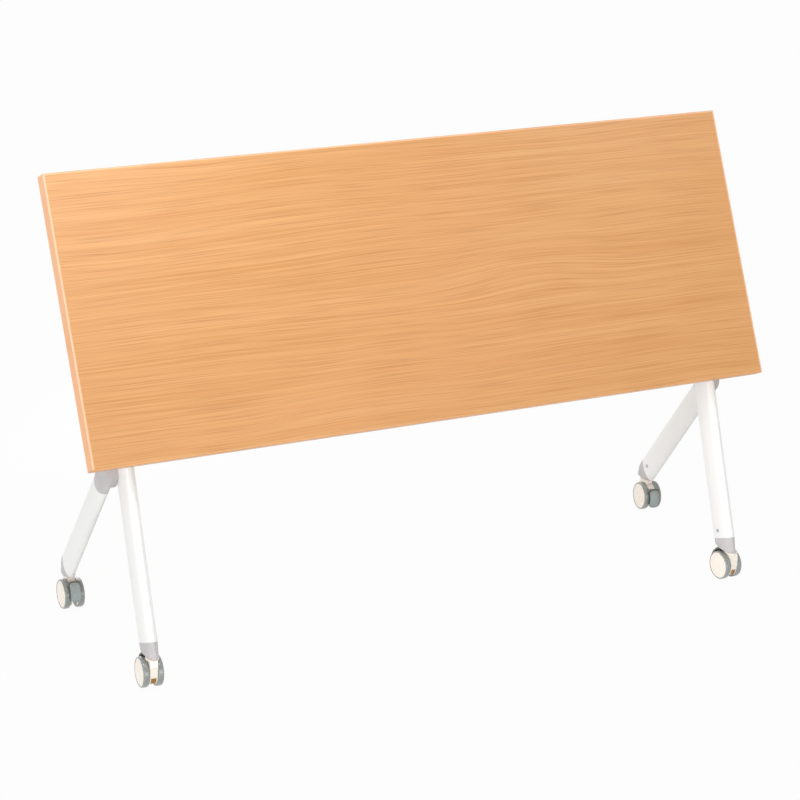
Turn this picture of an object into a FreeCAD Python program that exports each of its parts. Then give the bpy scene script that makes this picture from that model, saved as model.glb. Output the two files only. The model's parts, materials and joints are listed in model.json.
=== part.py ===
import FreeCAD
import Part
import math
import os

V = FreeCAD.Vector

# Flip-top nesting table, shown with its worktop folded up for storage.
# Millimetres. X runs along the worktop, +Y to the rear, +Z up, floor at Z = 0.
# Sizes are first given from the middle of the base; the finished pieces are then moved
# along Y so that the origin lies under the middle of the whole table.

# Worktop
TOP_W = 1200.0
TOP_D = 450.0
TOP_T = 25.0
TABLE_H = 700.0            # floor to working face, worktop level
EDGE_T = 3.0               # thickness of the edge bands
EDGE_R = 2.0               # rounding of the bands' long edges
FOLD_DEG = 59.0            # worktop's slope when folded

# Hinge line, seen with the worktop level
HINGE_Y = 186.5            # behind the middle of the base
HINGE_SETBACK = 62.0       # in front of the worktop's rear edge
HINGE_DROP = 34.0          # below the underside
PIN_R = 5.0
PIN_HEAD_R = 8.0
PIN_HEAD_T = 2.5

# Leg frames
LEG_INSET = 75.0           # middle plane of the front legs to the worktop's end
FRONT_TUBE_W = 23.0
FRONT_TUBE_D = 50.0
REAR_TUBE_W = 18.0
REAR_TUBE_D = 43.0
JOINT_SPACER = 1.0         # between the two legs of a side
TUBE_WALL = 1.6
BEND_DROP = 269.0          # hinge line to the front leg's bend, where it starts to follow the worktop
BEND_R = 150.0
FRONT_SLOPE_DEG = 64.5     # front leg below its bend
FRONT_END_Z = 69.0         # front tube's lower end, on its axis
JOINT_DROP = 323.0         # hinge line to where the axes of the two legs cross
JOINT_BOLT_BACK = 7.0      # bolt behind the crossing, along the rear leg
REAR_SLOPE_DEG = 58.4
REAR_END_Z = 69.5
REAR_CUT_TILT = 15.0       # slant of the rear tube's lower cut
JOINT_BOLT_R = 4.0
JOINT_HEAD_R = 7.0
JOINT_HEAD_T = 3.0

# Leg heads and cross beam
HEAD_W = 22.0
HEAD_R = 30.0
HEAD_NECK = 32.0           # hinge line to the front tube's upper end
NECK_LAP = 24.0            # length of the neck that runs into the disc
PLUG_LEN = 28.0            # every plug's depth inside its tube
BEAM_DROP = 96.0           # hinge line to the beam's middle, along the leg
BEAM_H = 40.0
BEAM_T = 24.0
BEAM_WALL = 1.6
BUMPER_DROP = 190.0
BUMPER_R = 8.0
BUMPER_EDGE_R = 2.0

# Joint covers
COVER_WALL = 1.2
COVER_BELOW = 62.5         # tongue below the crossing, along the rear leg
COVER_AHEAD = 4.0          # tongue's round end in front of that leg's axis
COVER_LAP = 1.0            # shell and web, each past the rear leg's middle plane
COVER_WEB_STEP = 0.5       # web's edge inside the shell's edge
COVER_WEB_LEN = 31.0

# Hinge brackets
PLATE_T = 3.0
PLATE_W = 60.0
PLATE_FRONT = 95.0         # plate in front of the hinge line
PLATE_REAR = 54.0
PLATE_CORNER_R = 10.0
CHEEK_FRONT = 60.0
CHEEK_REAR = 52.0
CHEEK_R = 15.0
CHEEK_CORNER_R = 7.5
CHEEK_GAP = 1.5            # cheek to leg head, each side
SCREW_R = 2.0
SCREW_HEAD_R = 4.0
SCREW_HEAD_T = 2.0
SCREW_LEN = 14.0
SCREW_INSET = 14.0         # screw to the plate's ends
SCREW_SIDE = 24.0          # screw to the leg's middle plane

# Release rod with its latch pawls and handle, seen with the worktop level
ROD_R = 3.5
ROD_BACK = 34.0            # behind the hinge line
ROD_UP = 14.0              # above the hinge line
PAWL_W = 14.0
PAWL_EYE_R = 6.0
PAWL_T = 7.0
PAWL_REACH_DEG = 47.0
NOSE_DEG = 10.0
NOTCH_DEPTH = 4.0
NOTCH_SLACK_DEG = 1.0      # notch past the nose, each side
HANDLE_W = 140.0
HANDLE_T = 3.0
HANDLE_REACH = 25.0
HANDLE_LIP = 9.0

# Feet
SEAT_Z = 53.0              # underside of the feet
FRONT_SEAT_RX = 11.0
FRONT_SEAT_RY = 25.7
FRONT_SEAT_BACK = 15.2     # middle of a front foot's underside behind the stem
REAR_SEAT_RX = 10.5
REAR_SEAT_RY = 18.8
REAR_SEAT_BACK = 2.7       # middle of a rear foot's underside behind the stem
FOOT_SCREW_R = 2.5
FOOT_SCREW_UP = 13.0       # screw above the tube's end
FOOT_SCREW_LEN = 8.0
FOOT_SCREW_HEAD = 0.6

# Casters
FRONT_STEM_OUT = 2.0       # stems outside the front legs' middle plane
REAR_STEM_OUT = 20.0
FRONT_STEM_AHEAD = 20.8    # stems in front of and behind the tubes' lower ends
REAR_STEM_BACK = 1.0
STEM_R = 3.5
STEM_IN_FOOT = 12.0
STEM_IN_HOOD = 18.5
TRAIL = 10.0               # axle behind the stem
WHEEL_R = 24.0
WHEEL_W = 10.0
TYRE_T = 2.2
TYRE_EDGE_R = 2.0
HUB_DOME = 1.2
HUB_STEP = 0.5             # hub's edge inside the tyre's side
AXLE_IN_WALL = 1.0         # axle's end in a hub's outer wall
HUB_WEB = 5.0              # wheel's outer wall
HUB_BOSS_R = 8.0
HUB_RIM = 3.5
AXLE_R = 3.0
HOOD_W = 12.0
HOOD_WALL = 1.6
HOOD_R = 22.5
HOOD_SHOULDER = 18.0       # upright front wall above the axle
HOOD_BOTTOM = 12.0
HOOD_MOUTH = 23.5          # height of the opening in the front wall
HOOD_WINDOW = 41.6         # upper edge of the opening for the pedal
HOOD_TOP = 52.6
FLANGE_R = 10.5
FLANGE_T = 1.5
FLANGE_LIP = 1.0           # flange in front of the column
STEM_BLOCK = 6.0           # solid part of the hood behind the stem
PEDAL_R = 29.5
PEDAL_T = 2.5
PEDAL_W = 18.0
PEDAL_CORNER_R = 4.5
PEDAL_HIGH_DEG = 66.0      # pedal's edges, pedal up
PEDAL_LOW_DEG = 6.0
PEDAL_WEB_DEG = 26.0
PEDAL_BARREL_R = 5.5
PEDAL_TRAVEL_DEG = 20.0
SWIVEL_DEG = {"front_left": -5.0, "front_right": 3.0, "rear_left": -3.0, "rear_right": -6.0}
BRAKED = ("rear_right",)   # casters shown with the pedal down

# Clearances
RUN = 0.05                 # radial, shaft in hole
PLUG_FIT = 0.1             # plug in tube, each side
STOP_GAP = 0.4             # bumper to folded worktop, pawl to leg head
WHEEL_GAP = 0.4            # wheel to hood
PEDAL_GAP = 0.3            # pedal web to hood wall

# Cutting tools
OVERRUN = 1.0              # past the face that is cut
FAR = 400.0                # longer than any leg section

# Places that follow from the sizes above
HINGE_Z = TABLE_H - TOP_T - HINGE_DROP
FOLD = math.radians(FOLD_DEG)
UP_LEG = (math.cos(FOLD), math.sin(FOLD))
FRONT_RUN = 1 / math.tan(math.radians(FRONT_SLOPE_DEG))
REAR_RUN = 1 / math.tan(math.radians(REAR_SLOPE_DEG))
BEND_Z = HINGE_Z - BEND_DROP
BEND = (HINGE_Y - BEND_DROP * UP_LEG[0] / UP_LEG[1], BEND_Z)
FRONT_END = (BEND[0] - (BEND_Z - FRONT_END_Z) * FRONT_RUN, FRONT_END_Z)
JOINT_Z = HINGE_Z - JOINT_DROP
JOINT = (BEND[0] - (BEND_Z - JOINT_Z) * FRONT_RUN, JOINT_Z)
REAR_END = (JOINT[0] + (JOINT_Z - REAR_END_Z) * REAR_RUN, REAR_END_Z)
LEG_X = TOP_W / 2 - LEG_INSET
REAR_X = LEG_X + (FRONT_TUBE_W + REAR_TUBE_W) / 2 + JOINT_SPACER
FRONT_STEM_X = LEG_X + FRONT_STEM_OUT
FRONT_STEM_Y = FRONT_END[0] - FRONT_STEM_AHEAD
REAR_STEM_X = LEG_X + REAR_STEM_OUT
REAR_STEM_Y = REAR_END[0] + REAR_STEM_BACK
COVER_WEB_R = REAR_TUBE_D / 2 + COVER_WALL - COVER_WEB_STEP
CHEEK_IN = HEAD_W / 2 + CHEEK_GAP


# Small shared tools

def unit(start, end):
    """Direction in the side plane, as (y, z)."""
    length = math.dist(start, end)
    return ((end[0] - start[0]) / length, (end[1] - start[1]) / length)


def along(point, direction, distance):
    return (point[0] + direction[0] * distance, point[1] + direction[1] * distance)


def oval(x, centre, direction, width, depth):
    """Oval face square to a direction in the side plane."""
    middle = V(x, *centre)
    across = V(0, -direction[1], direction[0])
    ring = Part.Ellipse(middle + across * (depth / 2), middle + V(width / 2, 0, 0), middle)
    return Part.Face(Part.Wire(ring.toShape()))


def oval_bar(x, start, end, width, depth):
    direction = unit(start, end)
    length = math.dist(start, end)
    return oval(x, start, direction, width, depth).extrude(V(0, *direction) * length)


def rod(x0, x1, centre, radius):
    """Round bar along X."""
    return Part.makeCylinder(radius, x1 - x0, V(x0, *centre), V(1, 0, 0))


def plate(x0, x1, outline):
    """Flat plate along X from a side outline of (y, z) corners."""
    corners = [V(x0, *corner) for corner in outline]
    return Part.Face(Part.makePolygon(corners + corners[:1])).extrude(V(x1 - x0, 0, 0))


def sector(x0, x1, centre, r0, r1, deg0, deg1):
    """Part of a ring about an axis along X."""
    ring = rod(x0, x1, centre, r1).cut(rod(x0, x1, centre, r0))
    wedge = [centre]
    for share in (0, 0.25, 0.5, 0.75, 1):
        angle = math.radians(deg0 + (deg1 - deg0) * share)
        wedge.append(along(centre, (math.cos(angle), math.sin(angle)), 3 * r1))
    return ring.common(plate(x0 - OVERRUN, x1 + OVERRUN, wedge))


def round_edges(solid, radius, chosen):
    return solid.makeFillet(radius, [edge for edge in solid.Edges if chosen(edge)])


def along_x(edge):
    ends = edge.Vertexes
    return len(ends) == 2 and abs(abs(ends[0].X - ends[1].X) - edge.Length) < 1e-6


def below(solid, point, normal):
    """Solid with everything on the far side of a slanted cut taken off."""
    block = Part.makeBox(FAR, FAR, FAR, V(-FAR / 2, -FAR / 2, 0))
    turn = FreeCAD.Rotation(V(0, 0, 1), V(*normal))
    block.Placement = FreeCAD.Placement(V(*point), turn)
    return solid.cut(block)


def mirrored(solid):
    return solid.mirror(V(0, 0, 0), V(1, 0, 0))


def folded(solid):
    """Turn a piece about the hinge line from worktop level to worktop folded."""
    turned = solid.copy()
    turned.rotate(V(0, HINGE_Y, HINGE_Z), V(1, 0, 0), FOLD_DEG)
    return turned


def hinge_point(back, up):
    """Point given from the hinge line, worktop level."""
    return (HINGE_Y + back, HINGE_Z + up)


def joined(first, *others):
    solid = first
    for other in others:
        solid = solid.fuse(other)
    return solid.removeSplitter()


# Worktop

def worktop_pieces(screws):
    front = HINGE_Y + HINGE_SETBACK - TOP_D
    low = TABLE_H - TOP_T
    core = Part.makeBox(
        TOP_W - 2 * EDGE_T, TOP_D - 2 * EDGE_T, TOP_T,
        V(-TOP_W / 2 + EDGE_T, front + EDGE_T, low))
    slab = Part.makeBox(TOP_W, TOP_D, TOP_T, V(-TOP_W / 2, front, low))
    slab = slab.makeFillet(EDGE_R, slab.Edges)
    rim = slab.cut(core)
    inside = front + EDGE_T
    behind = front + TOP_D - EDGE_T
    half = TOP_W / 2
    strip = TOP_W / 2 - EDGE_T
    bands = {
        "edge_band_front": Part.makeBox(TOP_W, EDGE_T, TOP_T, V(-half, front, low)),
        "edge_band_rear": Part.makeBox(TOP_W, EDGE_T, TOP_T, V(-half, behind, low)),
        "edge_band_left": Part.makeBox(EDGE_T, behind - inside, TOP_T, V(-half, inside, low)),
        "edge_band_right": Part.makeBox(EDGE_T, behind - inside, TOP_T, V(strip, inside, low)),
    }
    pieces = {name: rim.common(band) for name, band in bands.items()}
    pieces["tabletop"] = core.cut(screws)
    return {name: folded(piece) for name, piece in pieces.items()}


def bracket_screw(x, y):
    base = TABLE_H - TOP_T - PLATE_T
    head = Part.makeCylinder(SCREW_HEAD_R, SCREW_HEAD_T, V(x, y, base - SCREW_HEAD_T))
    shank = Part.makeCylinder(SCREW_R, PLATE_T + SCREW_LEN, V(x, y, base))
    return joined(head, shank)


def bracket_screws():
    rows = (HINGE_Y - PLATE_FRONT + SCREW_INSET, HINGE_Y + PLATE_REAR - SCREW_INSET)
    screws = []
    for side in (-1, 1):
        for offset in (-SCREW_SIDE, SCREW_SIDE):
            for row in rows:
                screws.append(bracket_screw(side * (LEG_X + offset), row))
    return Part.makeCompound(screws)


def hinge_bracket(screws):
    """Right-hand bracket: a plate on the underside with two cheeks round the leg head."""
    top = TABLE_H - TOP_T
    solid = Part.makeBox(
        PLATE_W, PLATE_FRONT + PLATE_REAR, PLATE_T,
        V(LEG_X - PLATE_W / 2, HINGE_Y - PLATE_FRONT, top - PLATE_T))
    solid = round_edges(solid, PLATE_CORNER_R, lambda edge: abs(edge.tangentAt(0).z) > 0.9)
    outline = [
        hinge_point(-CHEEK_FRONT, HINGE_DROP - PLATE_T / 2),
        hinge_point(CHEEK_REAR, HINGE_DROP - PLATE_T / 2),
        hinge_point(CHEEK_REAR, ROD_UP - CHEEK_R / 2),
        hinge_point(ROD_BACK, ROD_UP - CHEEK_R),
        hinge_point(CHEEK_R, -CHEEK_R),
        hinge_point(-CHEEK_R, -CHEEK_R),
    ]
    holes = joined(
        rod(0, TOP_W, (HINGE_Y, HINGE_Z), PIN_R + RUN),
        rod(0, TOP_W, hinge_point(ROD_BACK, ROD_UP), ROD_R + RUN))
    for inner in (LEG_X - CHEEK_IN - PLATE_T, LEG_X + CHEEK_IN):
        cheek = plate(inner, inner + PLATE_T, outline)
        cheek = round_edges(
            cheek, CHEEK_CORNER_R,
            lambda edge: along_x(edge) and edge.Vertexes[0].Z < HINGE_Z + HINGE_DROP / 2)
        solid = solid.fuse(cheek.cut(holes))
    return folded(solid.removeSplitter().cut(screws))


# Release rod, handle and latch pawls

def release_rod():
    reach = LEG_X + CHEEK_IN + PLATE_T + PLATE_T
    return folded(rod(-reach, reach, hinge_point(ROD_BACK, ROD_UP), ROD_R))


def latch_pawl():
    """Right-hand pawl: an arm round the leg head with a nose over its notch."""
    x0 = LEG_X - PAWL_W / 2
    x1 = LEG_X + PAWL_W / 2
    centre = (HINGE_Y, HINGE_Z)
    eye = hinge_point(ROD_BACK, ROD_UP)
    high = math.degrees(math.atan2(ROD_UP, ROD_BACK))
    low = high - PAWL_REACH_DEG
    inner = HEAD_R + 2 * STOP_GAP
    arm = sector(x0, x1, centre, inner, inner + PAWL_T, low, high)
    nose = sector(x0, x1, centre, HEAD_R + STOP_GAP, inner + OVERRUN, low, low + NOSE_DEG)
    solid = joined(arm, nose, rod(x0, x1, eye, PAWL_EYE_R))
    return folded(solid.cut(rod(x0 - OVERRUN, x1 + OVERRUN, eye, ROD_R)))


def release_handle():
    x0 = -HANDLE_W / 2
    x1 = HANDLE_W / 2
    centre = hinge_point(ROD_BACK, ROD_UP)
    paddle = plate(x0, x1, [
        along(centre, (0, 1), -HANDLE_T / 2),
        along(centre, (0, 1), HANDLE_T / 2),
        (centre[0] + HANDLE_REACH, centre[1] + HANDLE_T / 2),
        (centre[0] + HANDLE_REACH, centre[1] + HANDLE_T / 2 - HANDLE_LIP),
        (centre[0] + HANDLE_REACH - HANDLE_T, centre[1] + HANDLE_T / 2 - HANDLE_LIP),
        (centre[0] + HANDLE_REACH - HANDLE_T, centre[1] - HANDLE_T / 2)])
    solid = joined(rod(x0, x1, centre, PAWL_EYE_R), paddle)
    return folded(solid.cut(rod(x0 - OVERRUN, x1 + OVERRUN, centre, ROD_R)))


# Leg frames

def front_bar(width, depth, upper_end):
    """Solid of a front leg's section along its bent axis, on the right-hand side."""
    low_dir = unit(FRONT_END, BEND)
    turn = math.atan2(low_dir[1], low_dir[0]) - FOLD
    tangent = BEND_R * math.tan(turn / 2)
    low_point = along(BEND, low_dir, -tangent)
    high_point = along(BEND, UP_LEG, tangent)
    centre = along(low_point, (low_dir[1], -low_dir[0]), BEND_R)
    elbow = oval(LEG_X, low_point, low_dir, width, depth)
    elbow = elbow.revolve(V(LEG_X, *centre), V(1, 0, 0), -math.degrees(turn))
    return joined(
        oval_bar(LEG_X, FRONT_END, low_point, width, depth), elbow,
        oval_bar(LEG_X, high_point, upper_end, width, depth))


def rear_bar(width, depth):
    direction = unit(REAR_END, JOINT)
    start = along(REAR_END, direction, -REAR_TUBE_D)
    bar = oval_bar(REAR_X, start, along(JOINT, direction, REAR_TUBE_D), width, depth)
    return mitred(below(bar, (REAR_X, *REAR_END), (0, *rear_cut())), 0)


def mitred(solid, reach):
    """Piece cut off parallel to the front leg, a distance in front of that leg's axis."""
    direction = unit(FRONT_END, BEND)
    ahead = (-direction[1], direction[0])
    return below(solid, (REAR_X, *along(JOINT, ahead, reach)), (0, *ahead))


def rear_cut():
    """Outward direction of the rear tube's lower cut."""
    direction = unit(JOINT, REAR_END)
    angle = math.atan2(direction[1], direction[0]) + math.radians(REAR_CUT_TILT)
    return (math.cos(angle), math.sin(angle))


def joint_bolt():
    centre = along(JOINT, unit(JOINT, REAR_END), JOINT_BOLT_BACK)
    inner = LEG_X - FRONT_TUBE_W / 2
    head = rod(inner - JOINT_HEAD_T, inner, centre, JOINT_HEAD_R)
    return joined(head, rod(inner, REAR_X, centre, JOINT_BOLT_R))


def foot_screw(x, end, direction, width):
    """Screw on the inner side of a leg, just above its foot."""
    centre = along(end, direction, FOOT_SCREW_UP)
    inner = x - width / 2 - FOOT_SCREW_HEAD
    return rod(inner, inner + FOOT_SCREW_HEAD + FOOT_SCREW_LEN, centre, FOOT_SCREW_R)


def front_leg(outer, tools):
    upper_end = along((HINGE_Y, HINGE_Z), UP_LEG, -HEAD_NECK)
    bore = front_bar(FRONT_TUBE_W - 2 * TUBE_WALL, FRONT_TUBE_D - 2 * TUBE_WALL, upper_end)
    return outer.cut(bore).cut(tools)


def rear_leg(outer, tools):
    bore = rear_bar(REAR_TUBE_W - 2 * TUBE_WALL, REAR_TUBE_D - 2 * TUBE_WALL)
    return outer.cut(bore).cut(tools)


def slot_bar(x0, x1, start, end, radius):
    """Bar along X whose side outline is a slot."""
    direction = unit(start, end)
    side = (-direction[1], direction[0])
    middle = plate(x0, x1, [
        along(start, side, radius), along(end, side, radius),
        along(end, side, -radius), along(start, side, -radius)])
    return joined(middle, rod(x0, x1, start, radius), rod(x0, x1, end, radius))


def joint_cover(rear_outer):
    """Moulded cover: a shell with a rounded tongue over the outer side of the rear leg's
    top, a cap on that leg's end, and a web that fills the corner between the two legs."""
    front_outer = oval_bar(LEG_X, FRONT_END, BEND, FRONT_TUBE_W, FRONT_TUBE_D)
    direction = unit(REAR_END, JOINT)
    depth = REAR_TUBE_D + 2 * COVER_WALL
    low = along(JOINT, direction, -COVER_BELOW)
    high = along(JOINT, direction, depth)
    sleeve = mitred(
        oval_bar(REAR_X, low, high, REAR_TUBE_W + 2 * COVER_WALL, depth), COVER_WALL)
    outer_x = REAR_X - COVER_LAP
    ahead = (-direction[1], direction[0])
    tongue = along(along(low, direction, depth / 2), ahead, COVER_AHEAD)
    shell = sleeve.cut(rear_outer).common(slot_bar(outer_x, outer_x + depth, tongue, high, depth / 2))
    web_low = along(JOINT, direction, -COVER_WEB_LEN)
    web_x = LEG_X + FRONT_TUBE_W / 2 - COVER_LAP
    web = slot_bar(web_x, REAR_X + COVER_LAP, web_low, JOINT, COVER_WEB_R)
    web = mitred(web, COVER_WALL / 2).cut(rear_outer)
    cap = mitred(oval_bar(REAR_X, low, high, REAR_TUBE_W, REAR_TUBE_D), COVER_WALL / 2)
    return shell.fuse(cap.cut(rear_outer)).fuse(web).cut(front_outer)


def leg_head():
    """Right-hand head: a notched disc on the hinge pin, plugged into the front tube."""
    x0 = LEG_X - HEAD_W / 2
    x1 = LEG_X + HEAD_W / 2
    centre = (HINGE_Y, HINGE_Z)
    disc = rod(x0, x1, centre, HEAD_R)
    high = math.degrees(math.atan2(ROD_UP, ROD_BACK))
    for nose in (high - PAWL_REACH_DEG - FOLD_DEG, high - PAWL_REACH_DEG):
        notch = sector(
            LEG_X - HEAD_W, LEG_X + HEAD_W, centre,
            HEAD_R - NOTCH_DEPTH, HEAD_R + NOTCH_DEPTH,
            nose - NOTCH_SLACK_DEG, nose + NOSE_DEG + NOTCH_SLACK_DEG)
        disc = disc.cut(notch)
    half = FRONT_TUBE_D / 2 - EDGE_R
    neck = plate(x0, x1, [
        hinge_point(-HEAD_NECK, -half), hinge_point(-HEAD_NECK, half),
        hinge_point(NECK_LAP - HEAD_NECK, half), hinge_point(NECK_LAP - HEAD_NECK, -half)])
    inner = 2 * TUBE_WALL + 2 * PLUG_FIT
    plug = oval_bar(
        LEG_X, hinge_point(-HEAD_NECK - PLUG_LEN, 0), hinge_point(-HEAD_NECK, 0),
        FRONT_TUBE_W - inner, FRONT_TUBE_D - inner)
    solid = joined(disc, neck, plug)
    return folded(solid.cut(rod(x0 - OVERRUN, x1 + OVERRUN, centre, PIN_R)))


def hinge_pin():
    centre = (HINGE_Y, HINGE_Z)
    reach = CHEEK_IN + PLATE_T + CHEEK_GAP / 2
    solid = rod(LEG_X - reach, LEG_X + reach, centre, PIN_R)
    heads = (LEG_X - reach - PIN_HEAD_T, LEG_X + reach)
    for start in heads:
        solid = solid.fuse(rod(start, start + PIN_HEAD_T, centre, PIN_HEAD_R))
    return solid.removeSplitter()


def cross_beam(front_outer):
    """Rectangular tube, coped to the front legs at both ends."""
    middle = hinge_point(-BEAM_DROP, 0)
    low = (middle[0] - BEAM_H / 2, middle[1] - BEAM_T / 2)
    beam = Part.makeBox(2 * LEG_X, BEAM_H, BEAM_T, V(-LEG_X, *low))
    beam = round_edges(beam, 2 * BEAM_WALL, along_x)
    bore = Part.makeBox(
        2 * LEG_X, BEAM_H - 2 * BEAM_WALL, BEAM_T - 2 * BEAM_WALL,
        V(-LEG_X, low[0] + BEAM_WALL, low[1] + BEAM_WALL))
    bore = round_edges(bore, BEAM_WALL, along_x)
    beam = folded(beam.cut(bore)).cut(front_outer).cut(mirrored(front_outer))
    return max(beam.Solids, key=lambda piece: piece.Volume)


def fold_bumper(front_outer):
    """Rubber stop on the front of the leg that the folded worktop lies against."""
    y, z = hinge_point(-BUMPER_DROP, 0)
    height = HINGE_DROP - STOP_GAP
    bumper = Part.makeCylinder(BUMPER_R, height, V(LEG_X, y, z))
    rim = [edge for edge in bumper.Edges if edge.BoundBox.ZMin > z + height - BUMPER_EDGE_R]
    bumper = bumper.makeFillet(BUMPER_EDGE_R, rim)
    bumper = folded(bumper).cut(front_outer)
    return max(bumper.Solids, key=lambda piece: piece.BoundBox.Center.z)


# Feet

def oval_wire(middle, across, half_width):
    """Outline for a loft, started at the end of its long axis."""
    ring = Part.Ellipse(middle + across, middle + V(half_width, 0, 0), middle)
    return Part.Wire(ring.toShape())


def front_foot():
    """Right-hand plug whose lower part carries the tube's oval down to a level underside."""
    direction = unit(FRONT_END, BEND)
    seat_y = FRONT_STEM_Y + FRONT_SEAT_BACK
    shoe = Part.makeLoft(
        [oval_wire(V(LEG_X, seat_y, SEAT_Z), V(0, -FRONT_SEAT_RY, 0), FRONT_SEAT_RX),
         oval_wire(
            V(LEG_X, *FRONT_END), V(0, -direction[1], direction[0]) * (FRONT_TUBE_D / 2),
            FRONT_TUBE_W / 2)], True, True)
    inner = 2 * TUBE_WALL + 2 * PLUG_FIT
    plug = oval_bar(
        LEG_X, FRONT_END, along(FRONT_END, direction, PLUG_LEN),
        FRONT_TUBE_W - inner, FRONT_TUBE_D - inner)
    return joined(shoe, plug)


def rear_foot():
    """Right-hand plug that carries the tube's shape on below its slanted cut, upright at the
    rear and level below."""
    direction = unit(REAR_END, JOINT)
    out = rear_cut()
    low = along(REAR_END, direction, -FAR / 2)
    high = along(REAR_END, direction, REAR_TUBE_D)
    bar = oval_bar(REAR_X, low, high, REAR_TUBE_W, REAR_TUBE_D)
    bar = below(bar, (REAR_X, *REAR_END), (0, -out[0], -out[1]))
    seat_y = REAR_STEM_Y + REAR_SEAT_BACK
    seat = Part.Face(oval_wire(V(REAR_STEM_X, seat_y, SEAT_Z), V(0, -REAR_SEAT_RY, 0), REAR_SEAT_RX))
    body = seat.extrude(V(0, 0, FAR)).common(bar)
    inner = 2 * TUBE_WALL + 2 * PLUG_FIT
    plug = oval_bar(
        REAR_X, along(REAR_END, direction, -REAR_TUBE_D), along(REAR_END, direction, PLUG_LEN),
        REAR_TUBE_W - inner, REAR_TUBE_D - inner)
    plug = below(plug, (REAR_X, *REAR_END), (0, *out))
    return joined(body, plug)


# Casters, first made with the stem on the Z axis and the wheels trailing to +Y

def caster_stem():
    low = HOOD_TOP - STEM_IN_HOOD
    return Part.makeCylinder(STEM_R, SEAT_Z + STEM_IN_FOOT - low, V(0, 0, low))


def caster_hood():
    half = HOOD_W / 2
    room = half - HOOD_WALL
    axle = (TRAIL, WHEEL_R)
    front = TRAIL - HOOD_R
    under = HOOD_TOP - FLANGE_T
    column = plate(-half, half, [
        (front, WHEEL_R), (front, WHEEL_R + HOOD_SHOULDER), (FLANGE_LIP - FLANGE_R, under),
        (FLANGE_R, under), (TRAIL, WHEEL_R)])
    solid = joined(rod(-half, half, axle, HOOD_R), column)
    solid = joined(solid, Part.makeCylinder(FLANGE_R, FLANGE_T, V(0, 0, under)))
    size = 4 * HOOD_R
    solid = solid.cut(Part.makeBox(size, size, HOOD_BOTTOM, V(-size / 2, -size / 2, 0)))
    block_low = HOOD_TOP - STEM_IN_HOOD - HOOD_WALL
    lower_room = Part.makeBox(2 * room, size, block_low, V(-room, front + HOOD_WALL, 0))
    upper_room = Part.makeBox(2 * room, size, HOOD_WINDOW - block_low, V(-room, STEM_BLOCK, block_low))
    mouth = Part.makeBox(2 * room, HOOD_R, HOOD_MOUTH, V(-room, front - OVERRUN, 0))
    solid = solid.cut(lower_room).cut(upper_room).cut(mouth)
    solid = solid.cut(rod(-half - OVERRUN, half + OVERRUN, axle, AXLE_R))
    low = HOOD_TOP - STEM_IN_HOOD - RUN
    return solid.cut(Part.makeCylinder(STEM_R + RUN, HOOD_TOP - low + OVERRUN, V(0, 0, low)))


def caster_axle():
    reach = HOOD_W / 2 + WHEEL_GAP + WHEEL_W - HUB_WEB + AXLE_IN_WALL
    return rod(-reach, reach, (TRAIL, WHEEL_R), AXLE_R)


def caster_pedal():
    axle = (TRAIL, WHEEL_R)
    room = HOOD_W / 2 - HOOD_WALL - PEDAL_GAP
    middle = (PEDAL_HIGH_DEG + PEDAL_LOW_DEG) / 2
    flap = sector(
        -PEDAL_W / 2, PEDAL_W / 2, axle, PEDAL_R - PEDAL_T, PEDAL_R,
        PEDAL_LOW_DEG, PEDAL_HIGH_DEG)
    flap = round_edges(
        flap, PEDAL_CORNER_R,
        lambda edge: abs(edge.Length - PEDAL_T) < 1e-6 and edge.BoundBox.XLength < 1e-6)
    web = sector(
        -room, room, axle, PEDAL_BARREL_R - OVERRUN, PEDAL_R - PEDAL_T / 2,
        middle - PEDAL_WEB_DEG / 2, middle + PEDAL_WEB_DEG / 2)
    solid = joined(flap, web, rod(-room, room, axle, PEDAL_BARREL_R))
    return solid.cut(rod(-room - OVERRUN, room + OVERRUN, axle, AXLE_R + RUN))


def spun(outline):
    """Turned piece: (radius, x) corners spun about the axle."""
    corners = [V(x, TRAIL, WHEEL_R + radius) for radius, x in outline]
    face = Part.Face(Part.makePolygon(corners + corners[:1]))
    return face.revolve(V(0, TRAIL, WHEEL_R), V(1, 0, 0), 360)


def caster_tyre():
    """Left-hand tyre."""
    inner = -HOOD_W / 2 - WHEEL_GAP
    ring = rod(inner - WHEEL_W, inner, (TRAIL, WHEEL_R), WHEEL_R)
    ring = ring.makeFillet(
        TYRE_EDGE_R, [edge for edge in ring.Edges if len(edge.Vertexes) == 1])
    bore = rod(
        inner - WHEEL_W - OVERRUN, inner + OVERRUN, (TRAIL, WHEEL_R), WHEEL_R - TYRE_T)
    return ring.cut(bore)


def caster_hub():
    """Left-hand hub: a dished wheel body with a domed outer face."""
    inner = -HOOD_W / 2 - WHEEL_GAP
    outer = inner - WHEEL_W
    wall = outer + HUB_WEB
    edge = outer + HUB_STEP
    bore = AXLE_R + RUN
    bore_end = wall - AXLE_IN_WALL - WHEEL_GAP
    rim_r = WHEEL_R - TYRE_T
    body = spun([
        (bore, inner), (HUB_BOSS_R, inner), (HUB_BOSS_R, wall), (rim_r - HUB_RIM, wall),
        (rim_r - HUB_RIM, inner - WHEEL_GAP), (rim_r, inner - WHEEL_GAP), (rim_r, edge),
        (0, edge), (0, bore_end), (bore, bore_end)])
    dome_r = (rim_r ** 2 + HUB_DOME ** 2) / (2 * HUB_DOME)
    dome = Part.makeSphere(dome_r, V(edge - HUB_DOME + dome_r, TRAIL, WHEEL_R))
    dome = dome.common(rod(outer - HUB_DOME, edge, (TRAIL, WHEEL_R), rim_r))
    return joined(body, dome)


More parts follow.
